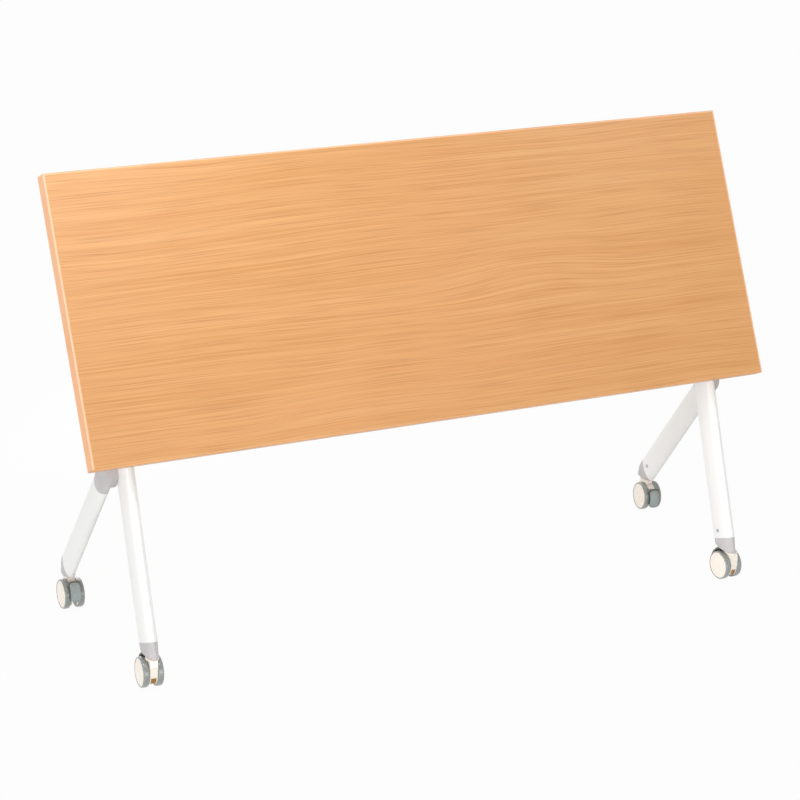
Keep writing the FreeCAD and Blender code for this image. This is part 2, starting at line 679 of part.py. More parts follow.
def placed(solid, corner, side):
    turned = solid.copy()
    front = corner.startswith("front")
    x = side * (FRONT_STEM_X if front else REAR_STEM_X)
    y = FRONT_STEM_Y if front else REAR_STEM_Y
    turned.rotate(V(0, 0, 0), V(0, 0, 1), SWIVEL_DEG[corner] + (0 if front else 180))
    turned.translate(V(x, y, 0))
    return turned


def caster_pieces():
    tyre = caster_tyre()
    hub = caster_hub()
    shared = {"hood": caster_hood(), "axle": caster_axle(), "pedal": caster_pedal()}
    pieces = {}
    for corner in SWIVEL_DEG:
        side = -1 if corner.endswith("left") else 1
        for name, solid in shared.items():
            pieces[f"{corner}_{name}"] = placed(solid, corner, side)
        if corner in BRAKED:
            pressed = shared["pedal"].copy()
            pressed.rotate(V(0, TRAIL, WHEEL_R), V(1, 0, 0), -PEDAL_TRAVEL_DEG)
            pieces[f"{corner}_pedal"] = placed(pressed, corner, side)
        wheels = ("left", "right") if corner.startswith("front") else ("right", "left")
        for wheel, turn in zip(wheels, (lambda solid: solid, mirrored)):
            pieces[f"{corner}_{wheel}_tyre"] = placed(turn(tyre), corner, side)
            pieces[f"{corner}_{wheel}_hub"] = placed(turn(hub), corner, side)
    return pieces


def both(name, solid):
    """The right-hand piece and its mirror image."""
    return {f"left_{name}": mirrored(solid), f"right_{name}": solid}


def pair(solid):
    return Part.makeCompound([mirrored(solid), solid])


def frame_pieces():
    upper_end = along((HINGE_Y, HINGE_Z), UP_LEG, -HEAD_NECK)
    front_outer = front_bar(FRONT_TUBE_W, FRONT_TUBE_D, upper_end)
    rear_outer = rear_bar(REAR_TUBE_W, REAR_TUBE_D)
    bolt = joint_bolt()
    front_screw = foot_screw(LEG_X, FRONT_END, unit(FRONT_END, BEND), FRONT_TUBE_W)
    rear_screw = foot_screw(REAR_X, REAR_END, unit(REAR_END, JOINT), REAR_TUBE_W)
    front_stem = caster_stem().translate(V(FRONT_STEM_X, FRONT_STEM_Y, 0))
    rear_stem = caster_stem().translate(V(REAR_STEM_X, REAR_STEM_Y, 0))
    tools = Part.makeCompound([bolt, front_screw, rear_screw])
    cover = joint_cover(rear_outer).cut(bolt)
    pieces = {}
    pieces.update(both("front_leg", front_leg(front_outer, tools)))
    pieces.update(both("rear_leg", rear_leg(rear_outer, tools)))
    pieces.update(both("joint_cover", cover))
    pieces.update(both("leg_head", leg_head()))
    pieces.update(both("front_foot", front_foot().cut(front_screw).cut(front_stem)))
    pieces.update(both("rear_foot", rear_foot().cut(rear_screw).cut(rear_stem)))
    pieces["leg_joint_bolts"] = pair(bolt)
    pieces["foot_screws"] = Part.makeCompound(
        [front_screw, rear_screw, mirrored(front_screw), mirrored(rear_screw)])
    pieces["caster_stems"] = Part.makeCompound(
        [front_stem, rear_stem, mirrored(front_stem), mirrored(rear_stem)])
    pieces["hinge_pins"] = pair(hinge_pin())
    pieces["cross_beam"] = cross_beam(front_outer)
    pieces["fold_bumpers"] = pair(fold_bumper(front_outer))
    return pieces


def all_pieces():
    screws = bracket_screws()
    pieces = worktop_pieces(screws)
    pieces["bracket_screws"] = folded(screws)
    pieces.update(both("hinge_bracket", hinge_bracket(screws)))
    pieces["release_rod"] = release_rod()
    pieces["release_handle"] = release_handle()
    pieces.update(both("latch", latch_pawl()))
    pieces.update(frame_pieces())
    pieces.update(caster_pieces())
    return pieces


pieces = all_pieces()
boxes = [piece.optimalBoundingBox(False) for piece in pieces.values()]
middle = (min(box.YMin for box in boxes) + max(box.YMax for box in boxes)) / 2
os.makedirs("parts", exist_ok=True)
for name, piece in pieces.items():
    piece.translate(V(0, -middle, 0))
    piece.exportStep(f"parts/{name}.step")
print(f"{len(pieces)} pieces, moved {-middle:.3f} mm along Y")
print(f"hinge line at y {HINGE_Y - middle:.3f}, z {HINGE_Z:.3f}")
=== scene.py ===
import json
import math

import bmesh
import bpy
from mathutils import Matrix, Vector


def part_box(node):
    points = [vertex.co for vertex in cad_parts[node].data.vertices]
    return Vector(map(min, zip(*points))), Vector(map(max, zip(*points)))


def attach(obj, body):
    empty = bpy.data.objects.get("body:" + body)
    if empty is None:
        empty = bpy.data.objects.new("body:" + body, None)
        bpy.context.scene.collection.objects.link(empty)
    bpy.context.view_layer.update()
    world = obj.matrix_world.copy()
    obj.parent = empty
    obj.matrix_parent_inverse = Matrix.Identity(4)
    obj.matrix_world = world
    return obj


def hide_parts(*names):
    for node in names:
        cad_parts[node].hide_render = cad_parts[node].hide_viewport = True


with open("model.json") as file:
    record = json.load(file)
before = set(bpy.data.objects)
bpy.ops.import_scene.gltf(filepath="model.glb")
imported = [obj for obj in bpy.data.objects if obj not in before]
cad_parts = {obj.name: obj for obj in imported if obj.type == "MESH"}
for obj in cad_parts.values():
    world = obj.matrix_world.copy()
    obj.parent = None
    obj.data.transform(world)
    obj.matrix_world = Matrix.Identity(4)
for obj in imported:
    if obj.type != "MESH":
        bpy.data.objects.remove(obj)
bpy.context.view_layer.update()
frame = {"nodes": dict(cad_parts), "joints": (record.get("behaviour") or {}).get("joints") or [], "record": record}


# Leg frames and cross beam
# Bent oval steel tubes, two to a side, with a box-section beam welded between the front pair.
# All of it is sprayed with white epoxy-polyester powder and baked, so edges stay soft.

MM = 0.001
CAD_CREASE = 32


def linear(code):
    """sRGB hex colour as the linear RGBA that sockets take."""
    channels = [int(code[place:place + 2], 16) / 255 for place in (1, 3, 5)]
    return [c / 12.92 if c <= 0.04045 else ((c + 0.055) / 1.055) ** 2.4 for c in channels] + [1.0]


def add(tree, kind, inputs, **settings):
    """Add a node, give it its settings, and fill its sockets with values or with other outputs."""
    made = tree.nodes.new(kind)
    for name, value in settings.items():
        setattr(made, name, value)
    for socket, value in inputs.items():
        if isinstance(value, bpy.types.NodeSocket):
            tree.links.new(value, made.inputs[socket])
        else:
            made.inputs[socket].default_value = value
    return made


def start_material(name, inputs):
    """New material with its shader: the tree, the shader and the object's own coordinates."""
    material = bpy.data.materials.new(name)
    material.use_nodes = True
    tree = material.node_tree
    shader = tree.nodes["Principled BSDF"]
    for socket, value in inputs.items():
        shader.inputs[socket].default_value = value
    place = add(tree, "ShaderNodeTexCoord", {}).outputs["Object"]
    return material, tree, shader, place


def soften(mesh, crease):
    """Shade round faces smooth and leave edges that are sharper than the crease angle crisp."""
    mesh.polygons.foreach_set("use_smooth", [True] * len(mesh.polygons))
    mesh.set_sharp_from_angle(angle=math.radians(crease))


def dress(material, *names):
    """Give CAD nodes a finish."""
    for name in names:
        mesh = frame["nodes"][name].data
        soften(mesh, CAD_CREASE)
        mesh.materials.clear()
        mesh.materials.append(material)


SIDES = ("left", "right")
# Powder coat has a faint orange peel of about 1.5 mm, drawn at 4 mm so that it shows, and a
# satin gloss that varies over a hand's breadth with the film's thickness.
ORANGE_PEEL = 4.0 * MM
FILM_PATCH = 111 * MM
powder_coat, tree, shader, place = start_material(
    "white_powder_coat", {"IOR": 1.5, "Coat Weight": 0.12, "Coat Roughness": 0.25})
peel = add(tree, "ShaderNodeTexNoise", {"Vector": place, "Scale": 1 / ORANGE_PEEL, "Detail": 1.0})
film = add(tree, "ShaderNodeTexNoise", {"Vector": place, "Scale": 1 / FILM_PATCH, "Detail": 3.0})
white = add(tree, "ShaderNodeMix", {
    0: film.outputs["Fac"], 6: linear("#F1F1F0"), 7: linear("#E9E9E7")}, data_type="RGBA")
gloss = add(tree, "ShaderNodeMapRange", {
    "Value": film.outputs["Fac"], "To Min": 0.32, "To Max": 0.46})
dimple = add(tree, "ShaderNodeBump", {
    "Height": peel.outputs["Fac"], "Strength": 0.06, "Distance": 0.2 * MM})
tree.links.new(white.outputs[2], shader.inputs["Base Color"])
tree.links.new(gloss.outputs[0], shader.inputs["Roughness"])
tree.links.new(dimple.outputs[0], shader.inputs["Normal"])
dress(powder_coat, "cross_beam", *[f"{side}_{leg}_leg" for side in SIDES for leg in ("front", "rear")])


# Weld beads
# A fillet weld runs round each end of the cross beam where it meets the oval front leg.
# It is ground only lightly, so the ripples of its run show through the frame's paint.

FOLD = math.radians(59)
LEG_X = 525 * MM
LEG_HALF_W = 11.5 * MM
LEG_HALF_D = 25 * MM
BEAM_HALF_H = 20 * MM
BEAM_HALF_T = 12 * MM
BEAM_SQUARENESS = 6
BEAD_R = 1.6 * MM
BEAD_STEPS = 72
RIPPLES = 18
RIPPLE_DEPTH = 0.25 * MM


def add_piece(name, data):
    """New object in the scene."""
    piece = bpy.data.objects.new(name, data)
    bpy.context.scene.collection.objects.link(piece)
    return piece


beam_low, beam_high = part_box("cross_beam")
beam_y = (beam_low.y + beam_high.y) / 2
beam_z = (beam_low.z + beam_high.z) / 2
for side, sign in zip(SIDES, (-1, 1)):
    curve = bpy.data.curves.new(f"{side}_weld_bead", "CURVE")
    curve.dimensions = "3D"
    curve.bevel_depth = BEAD_R
    curve.bevel_resolution = 3
    curve.materials.append(powder_coat)
    spline = curve.splines.new("POLY")
    spline.points.add(BEAD_STEPS - 1)
    spline.use_cyclic_u = True
    for step in range(BEAD_STEPS):
        angle = 2 * math.pi * step / BEAD_STEPS
        powers = abs(math.cos(angle)) ** BEAM_SQUARENESS + abs(math.sin(angle)) ** BEAM_SQUARENESS
        corner = powers ** (-1 / BEAM_SQUARENESS)
        along_leg = BEAM_HALF_H * corner * math.cos(angle)
        across = BEAM_HALF_T * corner * math.sin(angle)
        x = LEG_X - LEG_HALF_W * math.sqrt(1 - (across / LEG_HALF_D) ** 2)
        ripple = RIPPLE_DEPTH * math.sin(RIPPLES * angle)
        spline.points[step].co = (
            sign * (x - ripple),
            beam_y + along_leg * math.cos(FOLD) - across * math.sin(FOLD),
            beam_z + along_leg * math.sin(FOLD) + across * math.cos(FOLD), 1)
    bead = add_piece(f"{side}_weld_bead", curve)
    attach(bead, "frame")


# Joint covers, feet and leg heads
# Injection-moulded grey ABS: caps over the bolted leg joints, plugs that hold the casters in
# the tube ends, and the notched heads that carry the hinge pins.

# The mould's spark-eroded texture is about 0.5 mm, drawn at 2 mm so that it shows. It breaks
# the gloss up, and the melt's flow leaves slow drifts of tone.
SPARK_GRAIN = 2.0 * MM
FLOW_MARK = 25 * MM
grey_abs, tree, shader, place = start_material("grey_moulded_abs", {"IOR": 1.53})
grain = add(tree, "ShaderNodeTexNoise", {"Vector": place, "Scale": 1 / SPARK_GRAIN, "Detail": 2.0})
flow = add(tree, "ShaderNodeTexNoise", {"Vector": place, "Scale": 1 / FLOW_MARK, "Detail": 2.0})
tone = add(tree, "ShaderNodeMix", {
    0: flow.outputs["Fac"], 6: linear("#C9C6C7"), 7: linear("#B5B1B2")}, data_type="RGBA")
matt = add(tree, "ShaderNodeMapRange", {
    "Value": grain.outputs["Fac"], "To Min": 0.42, "To Max": 0.6})
pits = add(tree, "ShaderNodeBump", {
    "Height": grain.outputs["Fac"], "Strength": 0.18, "Distance": 0.15 * MM})
tree.links.new(tone.outputs[2], shader.inputs["Base Color"])
tree.links.new(matt.outputs[0], shader.inputs["Roughness"])
tree.links.new(pits.outputs[0], shader.inputs["Normal"])
dress(grey_abs, *[f"{side}_{name}" for side in SIDES for name in (
    "joint_cover", "front_foot", "rear_foot", "leg_head")])


# Fold bumpers
# Black rubber studs on the fronts of the legs, against which the folded worktop lies.
# Moulded rubber is matt, with a little bloom that greys it.

def mottled(name, inputs, patch, detail, pale, deep, rough):
    """Finish whose tone and roughness drift together in patches of the given size."""
    material, tree, shader, place = start_material(name, inputs)
    drift = add(tree, "ShaderNodeTexNoise", {"Vector": place, "Scale": 1 / patch, "Detail": detail})
    tone = add(tree, "ShaderNodeMix", {
        0: drift.outputs["Fac"], 6: linear(pale), 7: linear(deep)}, data_type="RGBA")
    sheen = add(tree, "ShaderNodeMapRange", {
        "Value": drift.outputs["Fac"], "To Min": rough[0], "To Max": rough[1]})
    tree.links.new(tone.outputs[2], shader.inputs["Base Color"])
    tree.links.new(sheen.outputs[0], shader.inputs["Roughness"])
    return material


BLOOM_PATCH = 5.56 * MM
rubber = mottled("black_rubber", {"IOR": 1.52}, BLOOM_PATCH, 3.0, "#1D1D1E", "#3A3A3B", (0.6, 0.85))
dress(rubber, "fold_bumpers")


# Steel fittings
# Hinge pins, caster stems, release bar and latch pawls are bright zinc on steel: pale and
# slightly blue, with a fine crystalline haze. The caster axles have the yellow chromate kind.

# The haze's crystals are well under 1 mm, drawn at 3 mm so that they show.
HAZE = 3.0 * MM
METAL = {"Metallic": 1.0}
zinc = mottled("bright_zinc_plate", METAL, HAZE, 3.0, "#C9CDD2", "#A3A9B0", (0.24, 0.42))
dress(zinc, "hinge_pins", "caster_stems", "release_rod", "left_latch", "right_latch")
CORNERS = ("front_left", "front_right", "rear_left", "rear_right")
yellow_zinc = mottled("yellow_chromate_zinc", METAL, HAZE, 3.0, "#B98A48", "#8C6531", (0.24, 0.42))
dress(yellow_zinc, *[f"{corner}_axle" for corner in CORNERS])


# Hinge brackets
# Pressed steel plates with two cheeks, screwed to the underside of the worktop.
# They are powder coated with the frame.

dress(powder_coat, "left_hinge_bracket", "right_hinge_bracket")


# Release handle
# A flat paddle of black glass-filled nylon clipped round the middle of the release bar.
# The fibres give it a dry, slightly streaked surface.

# Glass fibres are far too fine to show, so their streaks are drawn about 17 mm long, 2 mm wide.
FIBRE_LENGTH = 16.7 * MM
FIBRE_WIDTH = 2.0 * MM
nylon, tree, shader, place = start_material("black_glass_filled_nylon", {"IOR": 1.53})
stretch = add(tree, "ShaderNodeMapping", {
    "Vector": place, "Scale": (1 / FIBRE_LENGTH, 1 / FIBRE_WIDTH, 1 / FIBRE_WIDTH)})
fibre = add(tree, "ShaderNodeTexNoise", {"Vector": stretch.outputs[0], "Scale": 1.0, "Detail": 3.0})
dark = add(tree, "ShaderNodeMix", {
    0: fibre.outputs["Fac"], 6: linear("#232325"), 7: linear("#343437")}, data_type="RGBA")
dry = add(tree, "ShaderNodeMapRange", {
    "Value": fibre.outputs["Fac"], "To Min": 0.4, "To Max": 0.62})
tree.links.new(dark.outputs[2], shader.inputs["Base Color"])
tree.links.new(dry.outputs[0], shader.inputs["Roughness"])
dress(nylon, "release_handle")


# Worktop
# A particle board faced on both sides with beech-print melamine, cut with the grain along
# its length. The print's lines run nearly straight and swell round one soft knot figure.

SWAY_LENGTH = 560 * MM
SWAY_WIDTH = 190 * MM
SWAY_RISE = 15 * MM
FIGURE_LENGTH = 210 * MM
FIGURE_WIDTH = 66 * MM
FIGURE_RISE = 12 * MM
# Where the knot figure lies along and across the board. NO_KNOT is far outside it.
KNOT = (195 * MM, 0.0)
NO_KNOT = (9.0, 9.0)
# Length and width of each set of streaks, and its share of the tone.
STREAKS = (
    (1500 * MM, 60 * MM, 0.18),
    (1100 * MM, 17 * MM, 0.15),
    (800 * MM, 5.5 * MM, 0.18),
    (600 * MM, 2.8 * MM, 0.5))
# Printed growth lines are about 0.4 mm wide, drawn wider so that they show.
FINE_LENGTH = 150 * MM
FINE_WIDTH = 1.5 * MM
FINE_INK = 0.42


def plank_grain(tree, place, turn, middle, figure):
    """Coordinates that follow the beech print's lines, and its streak value between 0 and 1."""
    flat = add(tree, "ShaderNodeMapping", {
        "Vector": place, "Rotation": turn, "Location": [-m for m in middle]}).outputs[0]
    slow = add(tree, "ShaderNodeMapping", {
        "Vector": flat, "Scale": (1 / SWAY_LENGTH, 1 / SWAY_WIDTH, 0.0)})
    sway = add(tree, "ShaderNodeTexNoise", {"Vector": slow.outputs[0], "Scale": 1.0, "Detail": 1.0})
    drift = add(tree, "ShaderNodeMapRange", {
        "Value": sway.outputs["Fac"], "To Min": -SWAY_RISE, "To Max": SWAY_RISE})
    swell = add(tree, "ShaderNodeMapping", {
        "Vector": flat, "Scale": (1 / FIGURE_LENGTH, 1 / FIGURE_WIDTH, 0.0),
        "Location": (-figure[0] / FIGURE_LENGTH, -figure[1] / FIGURE_WIDTH, 0.0)})
    mound = add(tree, "ShaderNodeTexGradient", {"Vector": swell.outputs[0]}, gradient_type="SPHERICAL")
    arch = add(tree, "ShaderNodeMapRange", {
        "Value": mound.outputs["Fac"], "To Max": -FIGURE_RISE}, interpolation_type="SMOOTHSTEP")
    bend = add(tree, "ShaderNodeMath", {0: drift.outputs[0], 1: arch.outputs[0]}, operation="ADD")
    shift = add(tree, "ShaderNodeCombineXYZ", {"Y": bend.outputs[0]})
    lines = add(tree, "ShaderNodeVectorMath", {0: flat, 1: shift.outputs[0]}, operation="ADD").outputs[0]
    value = None
    for length, width, share in STREAKS:
        stretched = add(tree, "ShaderNodeMapping", {
            "Vector": lines, "Scale": (1 / length, 1 / width, 0.0)})
        streak = add(tree, "ShaderNodeTexNoise", {
            "Vector": stretched.outputs[0], "Scale": 1.0, "Detail": 2.0, "Roughness": 0.6})
        part = add(tree, "ShaderNodeMapRange", {
            "Value": streak.outputs["Fac"], "From Min": 0.3, "From Max": 0.7, "To Max": share})
        value = part.outputs[0] if value is None else add(
            tree, "ShaderNodeMath", {0: value, 1: part.outputs[0]}, operation="ADD").outputs[0]
    return lines, value


def plank_material(name, light, deep, pore, turn, middle, figure=NO_KNOT, core_and_highlight=None):
    """Beech-print melamine or edge band: streaks between two tones, thin lines, a satin film."""
    material, tree, shader, place = start_material(name, {"IOR": 1.5})
    lines, value = plank_grain(tree, place, turn, middle, figure)
    streaks = add(tree, "ShaderNodeMix", {0: value, 6: linear(deep), 7: linear(light)}, data_type="RGBA")
    fine_place = add(tree, "ShaderNodeMapping", {
        "Vector": lines, "Scale": (1 / FINE_LENGTH, 1 / FINE_WIDTH, 0.0)})
    fine = add(tree, "ShaderNodeTexNoise", {"Vector": fine_place.outputs[0], "Scale": 1.0, "Detail": 1.0})
    ink = add(tree, "ShaderNodeMapRange", {
        "Value": fine.outputs["Fac"], "From Min": 0.5, "From Max": 0.72, "To Max": FINE_INK})
    colour = add(tree, "ShaderNodeMix", {
        0: ink.outputs[0], 6: streaks.outputs[2], 7: linear(pore)}, data_type="RGBA")
    # Where a strip's rounding turns towards the board's top face, it is painted paler: partly the strip's core
    # where the print is milled off, partly a painted highlight along the arris.
    if core_and_highlight:
        upward = add(tree, "ShaderNodeVectorMath", {
            0: place.node.outputs["Normal"], 1: top_face["axis"]}, operation="DOT_PRODUCT")
        arris_highlight_mask = add(tree, "ShaderNodeMapRange", {
            "Value": upward.outputs["Value"], "From Min": 0.15, "From Max": 0.45})
        colour = add(tree, "ShaderNodeMix", {
            0: arris_highlight_mask.outputs[0], 6: colour.outputs[2], 7: linear(core_and_highlight)}, data_type="RGBA")
    satin = add(tree, "ShaderNodeMapRange", {"Value": value, "To Min": 0.42, "To Max": 0.34})
    relief = add(tree, "ShaderNodeBump", {
        "Height": fine.outputs["Fac"], "Strength": 0.06, "Distance": 0.1 * MM})
    tree.links.new(colour.outputs[2], shader.inputs["Base Color"])
    tree.links.new(satin.outputs[0], shader.inputs["Roughness"])
    tree.links.new(relief.outputs[0], shader.inputs["Normal"])
    return material


top_face = next(mount for mount in frame["record"]["mounts"] if mount["name"] == "worktop_face")
LEVEL = (-FOLD, 0.0, 0.0)
board_middle = Matrix.Rotation(-FOLD, 3, "X") @ Vector(top_face["pos_m"])
beech_print = plank_material(
    "beech_print_melamine", "#E3AD77", "#CE8F50", "#AF7036", LEVEL, board_middle, figure=KNOT)
dress(beech_print, "tabletop")


# Edge bands
# Strips of 3 mm ABS with the same beech print, hot-glued to the cut edges and rounded over.
# On the two ends the rounding is painted paler: partly the strip's core where the print is milled off, partly a
# painted highlight along the arris.

beech_band = plank_material(
    "beech_edge_band", "#F8C79C", "#EBB385", "#D79A6C", LEVEL, board_middle)
dress(beech_band, "edge_band_rear")
# The front strip is the same print as the rear one, painted a few shades deeper as painted shade for the lower
# edge, which gets less light.
front_strip_painted_shade = plank_material(
    "beech_front_strip_painted_shade", "#E9B380", "#D1945B", "#B97C44", LEVEL, board_middle)
dress(front_strip_painted_shade, "edge_band_front")
UPRIGHT = (-FOLD, 0.0, math.radians(90))
ORIGIN = (0.0, 0.0, 0.0)
# The paler arris colour on the ends is partly the milled core and partly a painted highlight.
side_band = plank_material(
    "beech_side_band", "#F8BD8C", "#EEAD79", "#D89261", UPRIGHT, ORIGIN, core_and_highlight="#F2BF9B")
dress(side_band, "edge_band_left", "edge_band_right")


# Screws and bolts
# Pan-head cross-recess screws hold the brackets and the feet, and larger ones join the legs.
# They are zinc plated like the other steel.

HEAD_STEPS = 32
HEAD_FLAT = 0.62
HEAD_RISES = (0.35, 0.6, 0.8, 0.95)
RECESS_ARM = 0.55
RECESS_SLOT = 0.13
RECESS_TAPER = 0.8
RECESS_FLOOR = 0.35
SCREW_CREASE = 40
SCREW_TURN = 37
SAME_POINT = 0.001 * MM


def ring(mesh, radius, height, count):
    """Closed loop of points about the Z axis."""
    angles = [2 * math.pi * step / count for step in range(count)]
    return [mesh.verts.new((radius * math.cos(a), radius * math.sin(a), height)) for a in angles]


def skin(mesh, lower, upper):
    """Quads between two loops of the same count."""
    count = len(lower)
    for step in range(count):
        after = (step + 1) % count
        mesh.faces.new((lower[step], lower[after], upper[after], upper[step]))


def finish_mesh(mesh, name):
    """Mesh data from an edit mesh, which is freed."""
    made = bpy.data.meshes.new(name)
    mesh.to_mesh(made)
    mesh.free()
    return made


def screw_mesh(name, head_r, head_h, shank_r, shank_len):
    """Screw with its head up: the underside of the head at Z = 0, the shank below it."""
    mesh = bmesh.new()
    loops = [ring(mesh, shank_r, -shank_len, HEAD_STEPS), ring(mesh, shank_r, 0, HEAD_STEPS)]
    loops.append(ring(mesh, head_r, 0, HEAD_STEPS))
    for rise in HEAD_RISES:
        rounding = (1 - HEAD_FLAT) * math.cos(math.asin(rise))
        loops.append(ring(mesh, head_r * (HEAD_FLAT + rounding), head_h * rise, HEAD_STEPS))
    for lower, upper in zip(loops, loops[1:]):
        skin(mesh, lower, upper)
    mesh.faces.new(list(reversed(loops[0])))
    arm = head_r * RECESS_ARM
    slot = head_r * RECESS_SLOT
    cross = [(arm, -slot), (arm, slot), (slot, slot), (slot, arm), (-slot, arm), (-slot, slot),
             (-arm, slot), (-arm, -slot), (-slot, -slot), (-slot, -arm), (slot, -arm), (slot, -slot)]
    rim = [mesh.verts.new((x, y, head_h * HEAD_RISES[-1])) for x, y in cross]
    floor = [mesh.verts.new((x * RECESS_TAPER, y * RECESS_TAPER, head_h * RECESS_FLOOR)) for x, y in cross]
    skin(mesh, rim, floor)
    mesh.faces.new(floor)
    edges = []
    for loop in (loops[-1], rim):
        for start, end in zip(loop, loop[1:] + loop[:1]):
            edges.append(mesh.edges.get((start, end)) or mesh.edges.new((start, end)))
    bmesh.ops.triangle_fill(mesh, edges=edges, use_beauty=True)
    bmesh.ops.recalc_face_normals(mesh, faces=mesh.faces)
    return finish_mesh(mesh, name)


def islands(node):
    """Lowest and highest corner of each separate solid in a CAD node."""
    mesh = bmesh.new()
    mesh.from_mesh(frame["nodes"][node].data)
    bmesh.ops.remove_doubles(mesh, verts=mesh.verts, dist=SAME_POINT)
    left = set(mesh.verts)
    boxes = []
    while left:
        front = [left.pop()]
        found = []
        while front:
            vert = front.pop()
            found.append(vert.co.copy())
            near = [edge.other_vert(vert) for edge in vert.link_edges]
            front += [other for other in near if other in left]
            left.difference_update(near)
        boxes.append([Vector(f(p[axis] for p in found) for axis in range(3)) for f in (min, max)])
    mesh.free()
    return boxes


def set_screws(name, node, body, place_head, **sizes):
    """One piece that holds every screw of a CAD node, each turned to its own angle."""
    pattern = screw_mesh(name, **sizes)
    mesh = bmesh.new()
    for count, (low, high) in enumerate(islands(node)):
        spot, out = place_head(low, high)
        turn = out.to_track_quat("Z", "Y").to_matrix().to_4x4()
        spin = Matrix.Rotation(math.radians(SCREW_TURN * count), 4, "Z")
        before = len(mesh.verts)
        mesh.from_mesh(pattern)
        mesh.verts.ensure_lookup_table()
        bmesh.ops.transform(
            mesh, matrix=Matrix.Translation(spot) @ turn @ spin, verts=mesh.verts[before:])
    made = finish_mesh(mesh, name)
    bpy.data.meshes.remove(pattern)
    soften(made, SCREW_CREASE)
    made.materials.append(zinc)
    screws = add_piece(name, made)
    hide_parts(node)
    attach(screws, body)


BOARD_OUT = Vector(top_face["axis"])
BRACKET_SCREW_HALF = 9.5 * MM
BRACKET_HEAD_H = 2 * MM


def under_board(low, high):
    """Bracket screws: heads on the back of the folded board."""
    middle = (low + high) / 2
    return middle - BOARD_OUT * (BRACKET_SCREW_HALF - BRACKET_HEAD_H), -BOARD_OUT


def inward(head):
    """Screws along X: heads on the side towards the middle of the table."""
    def spot(low, high):
        middle = (low + high) / 2
        left = middle.x < 0
        middle.x = high.x - head if left else low.x + head
        return middle, Vector((1 if left else -1, 0, 0))
    return spot


set_screws("bracket_pan_screws", "bracket_screws", "worktop", under_board,
           head_r=4 * MM, head_h=BRACKET_HEAD_H, shank_r=2 * MM, shank_len=16.9 * MM)
set_screws("foot_pan_screws", "foot_screws", "frame", inward(0.6 * MM),
           head_r=3.4 * MM, head_h=1.0 * MM, shank_r=2.4 * MM, shank_len=7.9 * MM)
set_screws("leg_pan_bolts", "leg_joint_bolts", "frame", inward(3 * MM),
           head_r=7 * MM, head_h=3 * MM, shank_r=4 * MM, shank_len=31.9 * MM)


# Caster hoods
# Ivory ABS swivel bodies that stand over the axle between each pair of wheels.
# Polished moulds give a smooth gloss with faint flow marks.

IVORY_FLOW = 18.2 * MM
ivory_abs = mottled(
    "ivory_gloss_abs", {"IOR": 1.53, "Coat Weight": 0.2, "Coat Roughness": 0.1},
    IVORY_FLOW, 2.0, "#F8F0E6", "#F1E6D8", (0.22, 0.34))
dress(ivory_abs, *[f"{corner}_hood" for corner in CORNERS])


# Caster wheels
# Each wheel is an ivory moulded body with a domed outer face, and a soft grey polyurethane
# tyre moulded round it. The tyre has a fine parting line round its crown.

WHEEL_STEPS = 72
WHEEL_CREASE = 35
ROUND_STEPS = 6


def lathe(name, profile):
    """Closed ring turned about the X axis from (x, radius) corners given in millimetres."""
    mesh = bmesh.new()
    loops = []
    for x, radius in profile:
        if radius == 0:
            loops.append([mesh.verts.new((x * MM, 0, 0))])
            continue
        angles = [2 * math.pi * step / WHEEL_STEPS for step in range(WHEEL_STEPS)]
        loops.append([mesh.verts.new(
            (x * MM, radius * MM * math.cos(a), radius * MM * math.sin(a))) for a in angles])
    pairs = list(zip(loops, loops[1:]))
    if len(loops[0]) > 1:
        pairs.append((loops[-1], loops[0]))
    for one, two in pairs:
        if len(one) > 1 and len(two) > 1:
            skin(mesh, one, two)
        elif len(one) != len(two):
            fan = max(one, two, key=len)
            tip = min(one, two, key=len)[0]
            for start, end in zip(fan, fan[1:] + fan[:1]):
                mesh.faces.new((start, end, tip))
    bmesh.ops.recalc_face_normals(mesh, faces=mesh.faces)
    made = finish_mesh(mesh, name)
    soften(made, WHEEL_CREASE)
    return made


def quarter(x, radius, size, start):
    """Points of a rounded corner, from the angle start through 90 degrees."""
    angles = [math.radians(start + 90 * step / ROUND_STEPS) for step in range(ROUND_STEPS + 1)]
    return [(x + size * math.cos(a), radius + size * math.sin(a)) for a in angles]


# Polyurethane from a polished mould has a clear wet gloss over a faintly scuffed grey.
SCUFF = 7.14 * MM
soft_pu = mottled(
    "grey_polyurethane", {"IOR": 1.5, "Coat Weight": 1.0, "Coat Roughness": 0.08},
    SCUFF, 4.0, "#979C98", "#7F8581", (0.3, 0.5))

# Millimetres out from the middle of the caster along the axle, and radii.
WHEEL_IN = 6.4
WHEEL_OUT = 16.4
TYRE_INSET = 0.2
TREAD_R = 24.0
TREAD_EDGE_R = 2.0
SHOULDER_R = 21.9
RIM_R = 21.8
PARTING_R = 23.85
parting_line = [(11.1, TREAD_R), (11.2, PARTING_R), (11.6, PARTING_R), (11.7, TREAD_R)]
tyre_mesh = lathe("tyre", [
    (WHEEL_IN + TYRE_INSET, RIM_R),
    *reversed(quarter(WHEEL_IN + TREAD_EDGE_R, SHOULDER_R, TREAD_EDGE_R, 90)),
    *parting_line,
    *reversed(quarter(WHEEL_OUT - TREAD_EDGE_R, SHOULDER_R, TREAD_EDGE_R, 0)),
    (WHEEL_OUT - TYRE_INSET, RIM_R)])
tyre_mesh.materials.append(soft_pu)
HUB_INSET = 0.4
DOME_X = 17.1
DOME_FALL = 0.6
DOME_R = 17.2
HOLLOW_R = 18.3
WEB_X = 11.4
BOSS_R = 8.0
BORE_R = 3.05
BORE_END = 12.8
dome = [(DOME_X - DOME_FALL * (radius / DOME_R) ** 2, radius)
        for radius in (0, 1, 4, 7, 10, 13, 15.5, DOME_R)]
